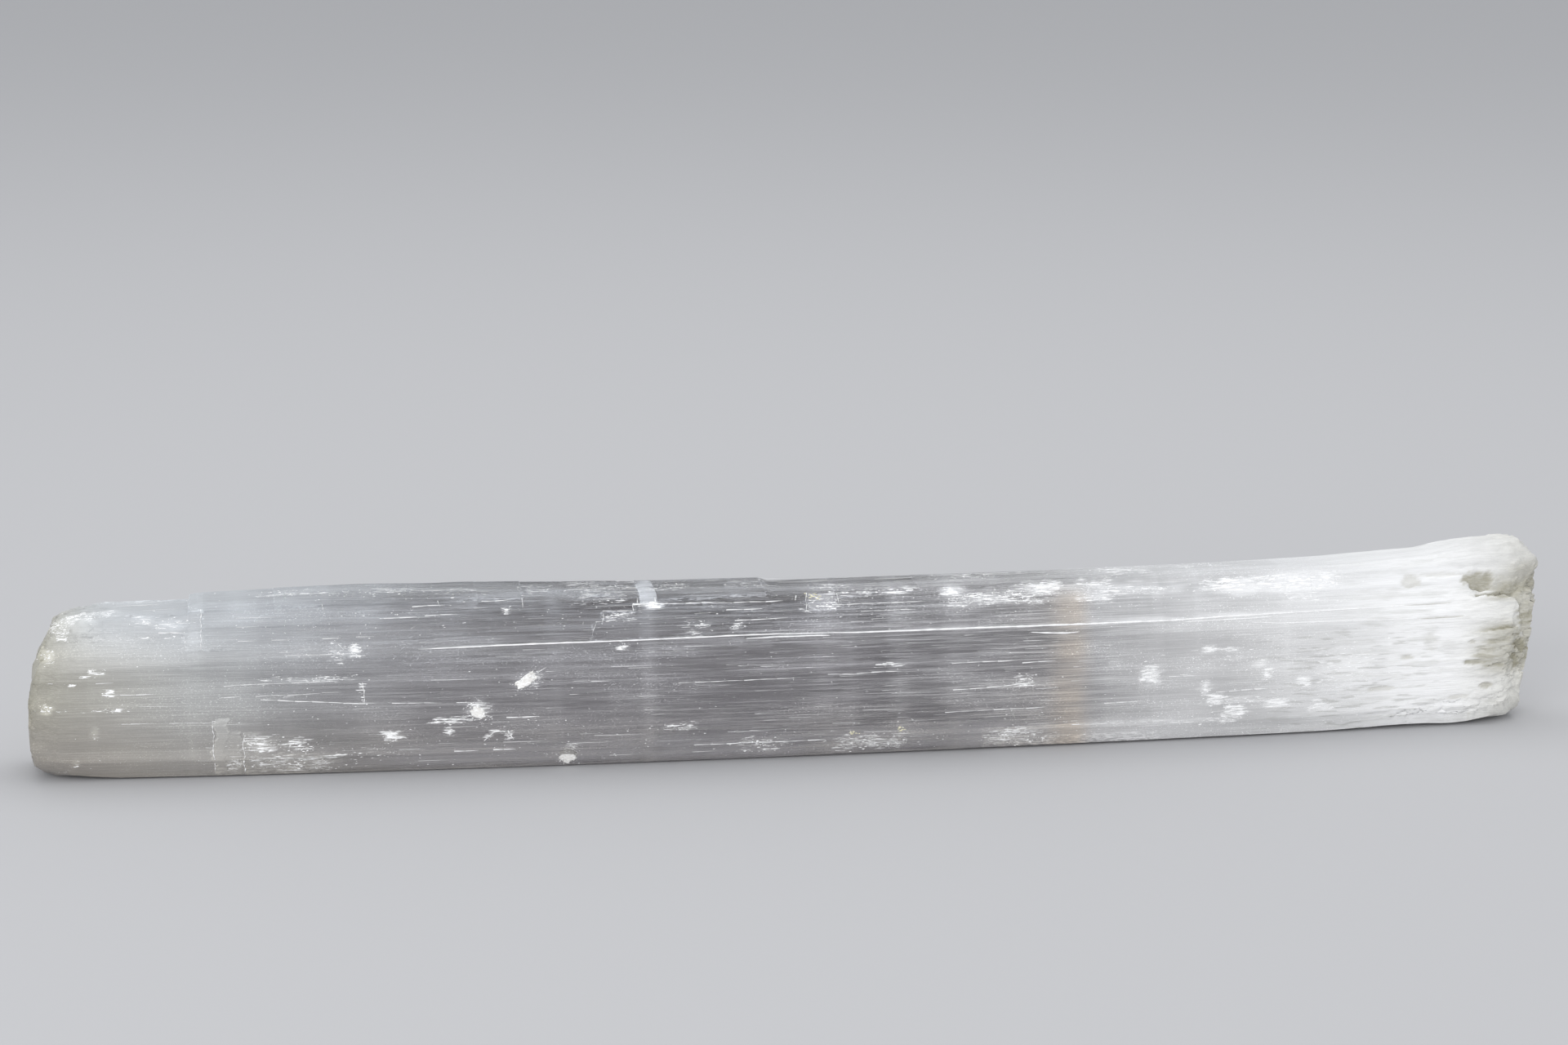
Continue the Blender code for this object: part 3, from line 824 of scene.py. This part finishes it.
def scatter_fibres(skin, rng):
    """Bright fibres: the open ones, and many fainter ones deeper in."""
    fibres = Scatter(fibre_shape())

    def fibre(side, first, last, thick, depth):
        ends = [skin.under(side, *end, depth) for end in (first, last)]
        if None not in ends:
            line = ends[1] - ends[0]
            sizes = (line.length * 1.1, thick, thick)
            fibres.put((ends[0] + ends[1]) / 2, line.to_track_quat("X", "Z"), sizes)

    for first_along, first_height, last_along, last_height, thick in OPEN_FIBRES:
        points = wandering((first_along, first_height), (last_along, last_height), rng)
        for first, last in zip(points, points[1:]):
            if thick > 0.11 or rng.random() < 0.65:
                fibre("front", first, last, thick * rng.uniform(1.2, 2.6), 0)
    for side, count, lowest, highest in FAINT_FIBRES:
        for _ in range(count):
            length = rng.uniform(2, 14)
            middle = rng.uniform(-175, 165) if rng.random() < 0.4 else rng.gauss(15, 60)
            if abs(middle) > 176:
                continue
            bow = BOW * middle ** 2 if side == "top" else 0
            across = rng.uniform(lowest, highest) + bow
            tilt = rng.uniform(-0.06, 0.06)
            thick = rng.choice((0.05, 0.06, 0.08, 0.12))
            ends = [(middle + way * length / 2, across + way * tilt) for way in (-1, 1)]
            fibre(side, *ends, thick, rng.uniform(0, 0.08))
    return fibres.whole


def crack_sheets(skin):
    """The long crack as thin sheets that go in from the front, each wrapped from a grid."""
    whole = bmesh.new()
    carrier = bpy.data.meshes.new("carrier")
    corners = len(CRACK_SECTION)
    for points in (CRACK,) + CRACK_BRANCHES:
        start, length = points[0][0], points[-1][0] - points[0][0]
        bm = bmesh.new()
        bmesh.ops.create_grid(bm, x_segments=round(length / CRACK_PITCH), y_segments=corners, size=0.5)
        for vert in bm.verts:
            share = vert.co.x + 0.5
            inwards, up = CRACK_SECTION[round((vert.co.y + 0.5) * corners) % corners]
            along = start + length * share
            height, thick = interpolate(points, along)
            height += 0.06 * noise.noise((along / 6, 3, 1))
            thick *= max(0.85 + 0.45 * noise.noise((along / 2.2, 6, height)), 0.2)
            thick *= smooth(0, 0.02, share) * smooth(1, 0.98, share)
            if inwards > 1:
                inwards *= CRACK_REACH * (0.6 + 0.7 * noise.noise((along / 8, 1, 2)))
            spot = skin.under("front", along, height, 0, 0)
            vert.co = spot + Vector((0, inwards, CRACK_LEAN * max(inwards, 0) + thick * up))
        bmesh.ops.remove_doubles(bm, verts=bm.verts[:], dist=1e-3)
        bmesh.ops.recalc_face_normals(bm, faces=bm.faces[:])
        bm.to_mesh(carrier)
        bm.free()
        whole.from_mesh(carrier)
    return whole


def pocket(skin, along, height, half_length, half_height, lean, cornered):
    """A lumpy pocket of powdery gypsum, sealed in but for the worn window where it meets the face."""
    bm = bmesh.new()
    bmesh.ops.create_icosphere(bm, subdivisions=5, radius=1)
    middle = skin.under("front", along, height, POCKET_DEPTH)
    for vert in bm.verts:
        ball = vert.co.copy()
        lump = 1 + 0.25 * noise.noise(ball * 1.6 + middle) + 0.25 * noise.noise(ball * 4 + middle)
        lump += 0.16 * noise.noise(ball * 9)
        corner = 1 / (1 - cornered + cornered * (abs(ball.x) + abs(ball.z)))
        x, y, z = ball * lump * corner
        spot = middle + Vector((x * half_length + z * lean * half_height * 2, y * POCKET_HALF_THICKNESS,
                                z * half_height + x * lean * half_height))
        window = skin.under("front", spot.x, spot.z, -0.05 - 0.04 * noise.noise(ball * 7))
        vert.co = spot if window is None else Vector((spot.x, max(spot.y, window.y), spot.z))
    return bm


# --- Materials ---
class Wire:
    """A socket of a material, so that shader maths is written as plain expressions."""

    def __init__(self, finish, socket):
        self.finish = finish
        self.socket = socket

    def maths(self, operation, first, second):
        return self.finish.node("Math", {"operation": operation}, {0: first, 1: second})

    def __add__(self, other):
        return self.maths("ADD", self, other)

    def __sub__(self, other):
        return self.maths("SUBTRACT", self, other)

    def __rsub__(self, other):
        return self.maths("SUBTRACT", other, self)

    def __mul__(self, other):
        return self.maths("MULTIPLY", self, other)

    __radd__ = __add__
    __rmul__ = __mul__

    def rise(self, low, high, first=0, last=1):
        """Goes smoothly from first to last as this value goes from low to high."""
        sockets = {"Value": self, "From Min": low, "From Max": high, "To Min": first, "To Max": last}
        return self.finish.node("MapRange", {"interpolation_type": "SMOOTHSTEP"}, sockets)


class Finish:
    """A material in the making."""

    def __init__(self, name):
        self.material = bpy.data.materials.new(name)
        self.material.use_nodes = True
        self.tree = self.material.node_tree
        self.tree.nodes.clear()
        self.output = self.tree.nodes.new("ShaderNodeOutputMaterial")

    def node(self, kind, settings=None, sockets=None, output=0):
        """Adds a node: its settings are made first, then its sockets take values or wires."""
        made = self.tree.nodes.new("ShaderNode" + kind)
        for setting, value in (settings or {}).items():
            if setting == "stops":
                ramp = made.color_ramp
                while len(ramp.elements) < len(value):
                    ramp.elements.new(1)
                for element, (position, colour) in zip(ramp.elements, value):
                    element.position = position
                    element.color = (*colour, 1)
            else:
                setattr(made, setting, value)
        for socket, value in (sockets or {}).items():
            if isinstance(value, Wire):
                self.tree.links.new(value.socket, made.inputs[socket])
            else:
                made.inputs[socket].default_value = value
        return Wire(self, made.outputs[output])

    def attribute(self, name):
        return self.node("Attribute", {"attribute_name": name}, output="Fac")

    def here(self):
        """Distance along, depth with the bow taken out, and height, in millimetres."""
        spot = self.node("TexCoord", output="Object")
        spot = self.node("VectorMath", {"operation": "SCALE"}, {0: spot, "Scale": 1 / MM})
        along, depth, height = (self.node("SeparateXYZ", None, {0: spot}, axis) for axis in range(3))
        return along, depth - along * along * BOW, height

    def grain(self, here, length, breadth, detail=2, rough=0.5):
        """Noise whose spots are this long and this broad, running with the fibres."""
        along, depth, height = here
        sockets = {0: along * (1 / length), 1: depth * (1 / breadth), 2: height * (1 / breadth)}
        spot = self.node("CombineXYZ", None, sockets)
        return self.node("TexNoise", None,
                         {"Vector": spot, "Scale": 1, "Detail": detail, "Roughness": rough})

    def ramp(self, value, stops):
        return self.node("ValToRGB", {"stops": stops}, {"Fac": value})

    def blend(self, amount, first, second):
        """The second colour, in this amount, over the first."""
        return self.node("Mix", {"data_type": "RGBA"}, {0: amount, 6: first, 7: second}, output=2)

    def bump(self, relief, reach):
        """The surface leaning as this relief would make it, which reaches this many metres."""
        return self.node("Bump", None, {"Strength": 0.5, "Distance": reach, "Height": relief})

    def gypsum(self, colour, roughness, normal, clear=0):
        return self.node("BsdfPrincipled", None, {
            "Base Color": colour, "Roughness": roughness, "IOR": GYPSUM_IOR, "Transmission Weight": clear,
            "Normal": normal})

    def done(self, shader, volume=None):
        self.tree.links.new(shader.socket, self.output.inputs["Surface"])
        if volume:
            self.tree.links.new(volume.socket, self.output.inputs["Volume"])
        return self.material


class CrystalFinish(Finish):
    """Clear crystal under white frost, which is thick where the blade is cloudy, crumbled or milky."""

    def __init__(self):
        super().__init__("satin selenite")
        here = self.here()
        self.along, _, self.height = here
        self.share = self.along * (1 / MILK_SPAN) + 0.5
        self.streak = self.grain(here, 48, 0.65, 3, 0.6)
        self.hair = self.grain(here, 20, 0.26, 2, 0.6)
        self.thread = self.grain(here, 9, 0.14, 1)
        self.fine = self.grain(here, 4.2, 0.2, 3, 0.65)
        self.crumbs = self.grain(here, 2.2, 0.5, 5, 0.7)
        self.dust = self.grain(here, 0.5, 0.2, 1, 0.7)
        self.cloud = self.grain(here, 34, 8)
        self.growth = self.grain(here, 7, 90, 3, 0.6)
        self.mottle = self.grain(here, 11, 1.8, 3, 0.6)
        self.dash = self.grain(here, 7, 0.8)
        self.chalk, self.pale, self.olive, self.lip = (self.attribute(name) for name in MARKS)
        # painted shade, partly the crystal's own brown: darker and warmer towards the foot over the left half
        self.low_shade = self.along.rise(100, 30) * self.height.rise(26, 0)
        # painted highlight: paler and cooler high up over the left of the blade, as if lit from above
        self.painted_high_light = self.along.rise(185, 130) * self.height.rise(24, 43)
        self.milky_end = self.along.rise(140, 190)
        self.iron = self.iron_band()
        self.flakes = self.flaking()

    def iron_band(self):
        """The iron tint across the blade."""
        tint, band, full, full_end, band_end = IRON_BAND
        iron = self.along.rise(tint, full, 0, 0.3) + self.along.rise(band, full, 0, 0.7)
        iron = iron * self.along.rise(band_end, full_end) * self.height.rise(44, 38)
        return iron * self.cloud.rise(0.25, 0.6, 0.6, 1)

    def flaking(self):
        """White flakes where the fibres are broken."""
        broken = self.fine * 0.65 + self.crumbs * 0.35 + self.chalk * 0.15
        return broken.rise(0.58, 0.63) * self.chalk.rise(0.02, 0.2)

    def milk(self):
        """How thick the milk is at this distance along."""
        stops = tuple((place, (amount,) * 3) for place, amount in MILK_AMOUNT)
        return self.node("SeparateColor", None, {0: self.ramp(self.share, stops)})

    def fibres(self):
        """Frost in streaks, hairs and threads along the fibres, quiet towards the ends."""
        quiet = self.along.rise(-150, -80, 0.4, 1) * self.along.rise(98, 62, 0.35, 1)
        quiet = quiet * self.along.rise(-45, -5, 0.85, 1.05)
        lines = self.streak.rise(0.5, 0.6, -0.03, 0.1) + self.hair.rise(0.52, 0.62, -0.03, 0.15)
        return quiet * (lines + self.thread.rise(0.52, 0.66, -0.02, 0.1))

    def pale_bands(self):
        """Soft pale bands across the blade, where it grew cloudier for a while."""
        total = 0
        for middle, half_width, strength in PALE_BANDS:
            left, right = (self.along.rise(middle + way * half_width, middle) for way in (-1, 1))
            total = left * right * strength + total
        return total

    def frost(self):
        """How white the surface is here, from clear to opaque."""
        along, height = self.along, self.height
        frost = self.milk() + self.fibres() + self.pale
        frost += self.cloud.rise(0.35, 0.7, -0.06, 0.08) * along.rise(160, 110, 0.3, 1)
        frost += self.growth.rise(0.5, 0.8, 0, 0.07)
        frost += self.dust.rise(0.61, 0.69, 0, 0.45) * self.cloud.rise(0.42, 0.62, 0.15, 1)
        frost += self.iron * 0.16 + self.pale_bands() * 0.14
        # The painted low shade and the painted highlight high on the left also add a little frost.
        frost += self.low_shade * 0.04 + self.painted_high_light * along.rise(-120, -170, 0.02, 0.1)
        frost += height.rise(28, 34) * height.rise(43, 39) * along.rise(-75, -45) * 0.06
        frost += along.rise(150, 172) * 0.15
        frost += self.flakes * 0.75 + self.chalk * 0.08
        return frost + self.lip * self.crumbs.rise(0.42, 0.65, 0, 0.45)

    def colour(self):
        """The frost's own colour."""
        along, height = self.along, self.height
        mottle_and_top_shade = self.mottle.rise(0.48, 0.68, 0, 0.5) + self.hair.rise(0.48, 0.66, 0, 0.35)
        # the milky end's top also gets painted shade, darker at the very top
        mottle_and_top_shade = (mottle_and_top_shade + height.rise(41, 45) * 0.4) * along.rise(125, 158)
        dashes = self.dash.rise(0.56, 0.66, 0, 0.7) * along.rise(108, 140) * along.rise(178, 160)
        dashes = dashes * height.rise(32, 26)
        # painted shade: the upper edge over the right half made greyer, darker at the top
        painted_top_shade = height.rise(36, 44) * along.rise(60, 110) * 0.4
        # painted highlight: a cool sheen high on the left
        painted_sky_light = self.painted_high_light * along.rise(60, -60, 0.1, 0.7) * along.rise(-198, -178, 0.2, 1)
        # painted shade towards the foot, partly the crystal's own brown, strongest at the thin end
        painted_low_shade_and_brown = self.low_shade * along.rise(-150, -190, 0.75, 1)
        # painted olive shade from the olive mark, broken up by the crumbs
        shadow = self.olive * self.crumbs.rise(0.3, 0.6, 0.7, 1)
        colour = self.ramp(self.share, MILK_COLOUR)
        for amount, tint in (
                (mottle_and_top_shade, DULL_MILK_AND_TOP_SHADE), (dashes, GREY_DASH), (painted_top_shade, PAINTED_TOP_SHADE), (painted_low_shade_and_brown, WARM_SHADE),
                (painted_sky_light, PAINTED_COOL_LIGHT), (self.iron * 0.52, IRON_TINT), (self.flakes, FLAKE_WHITE),
                (shadow, OLIVE_SHADOW)):
            colour = self.blend(amount, colour, tint)
        return colour

    def made(self):
        relief = (self.streak + self.hair) * self.milky_end.rise(0, 1, 0.5, 0.3)
        relief = relief + self.flakes * 0.4 + self.milky_end * self.crumbs * 1.3
        normal = self.bump(relief, 0.0003)
        clear = self.gypsum(CLEAR_GYPSUM, 0.22, normal, 1)
        white = self.gypsum(self.colour(), 0.46, normal)
        mixed = self.node("MixShader", None, {"Fac": self.frost(), 1: clear, 2: white})
        depths = {"Color": SMOKY_DEPTHS, "Density": SMOKINESS}
        return self.done(mixed, self.node("VolumeAbsorption", None, depths))


def powder_finish(name):
    """Opaque broken gypsum, from light to dark in small grains."""
    light, dark, roughness = POWDERS[name]
    finish = Finish(name)
    grains = finish.grain(finish.here(), 0.9, 0.4, 3, 0.6)
    colour = finish.blend(grains.rise(0.35, 0.65), (*dark, 1), (*light, 1))
    return finish.done(finish.gypsum(colour, roughness, finish.bump(grains, 0.0002)))


# --- The room, the floor and the view ---
def soft_room():
    """Light from all round."""
    world = bpy.data.worlds.new("soft room")
    bpy.context.scene.world = world
    world.use_nodes = True
    background = world.node_tree.nodes["Background"]
    background.inputs["Color"].default_value = ROOM_COLOUR
    background.inputs["Strength"].default_value = ROOM_STRENGTH


def pale_floor():
    bm = bmesh.new()
    bmesh.ops.create_grid(bm, x_segments=1, y_segments=1, size=FLOOR_REACH)
    bmesh.ops.translate(bm, vec=(0, 0, -FLOOR_GAP), verts=bm.verts)
    finish = Finish("pale floor")
    paint = {"Base Color": FLOOR_COLOUR, "Roughness": FLOOR_ROUGHNESS}
    shown("floor", bm, finish.done(finish.node("BsdfPrincipled", None, paint)))


def aimed(name, data, place, aim):
    """A lamp or a camera at a place, pointing at another."""
    made = bpy.data.objects.new(name, data)
    made.location = place
    made.rotation_euler = (Vector(aim) - Vector(place)).to_track_quat("-Z", "Y").to_euler()
    bpy.context.scene.collection.objects.link(made)
    return made


def stage():
    scene = bpy.context.scene
    scene.view_settings.view_transform = "Standard"
    soft_room()
    pale_floor()
    for name, place, (length, breadth), power in SOFTBOXES:
        light = bpy.data.lights.new(name, "AREA")
        light.shape = "RECTANGLE"
        light.size = length
        light.size_y = breadth
        light.energy = power
        aimed(name, light, place, SOFTBOX_AIM)
    view = bpy.data.cameras.new("view")
    view.lens = CAMERA_LENS
    scene.camera = aimed("view", view, CAMERA_PLACE, CAMERA_AIM)


def main():
    stage()
    rng = random.Random(SEED)
    cad = bmesh.new()
    cad.from_mesh(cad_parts["crystal_blade"].data)
    bmesh.ops.remove_doubles(cad, verts=cad.verts, dist=1e-6)
    bmesh.ops.scale(cad, vec=(1 / MM,) * 3, verts=cad.verts)
    blade = crystal(Skin(cad))
    cad.free()
    skin = Skin(blade)
    powder = powder_finish("broken fibre")
    piece("shards", scatter_shards(skin, rng), powder, False)
    piece("bright_fibres", scatter_fibres(skin, rng), powder)
    piece("crack", crack_sheets(skin), powder)
    piece("stained_grains", scatter_stains(skin, rng), powder_finish("stained grain"), False)
    cream = powder_finish("powdery pocket")
    for name, sizes in POCKETS.items():
        piece(name, pocket(skin, *sizes), cream)
    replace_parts(piece("crystal", blade, CrystalFinish().made()), "crystal_blade")


main()
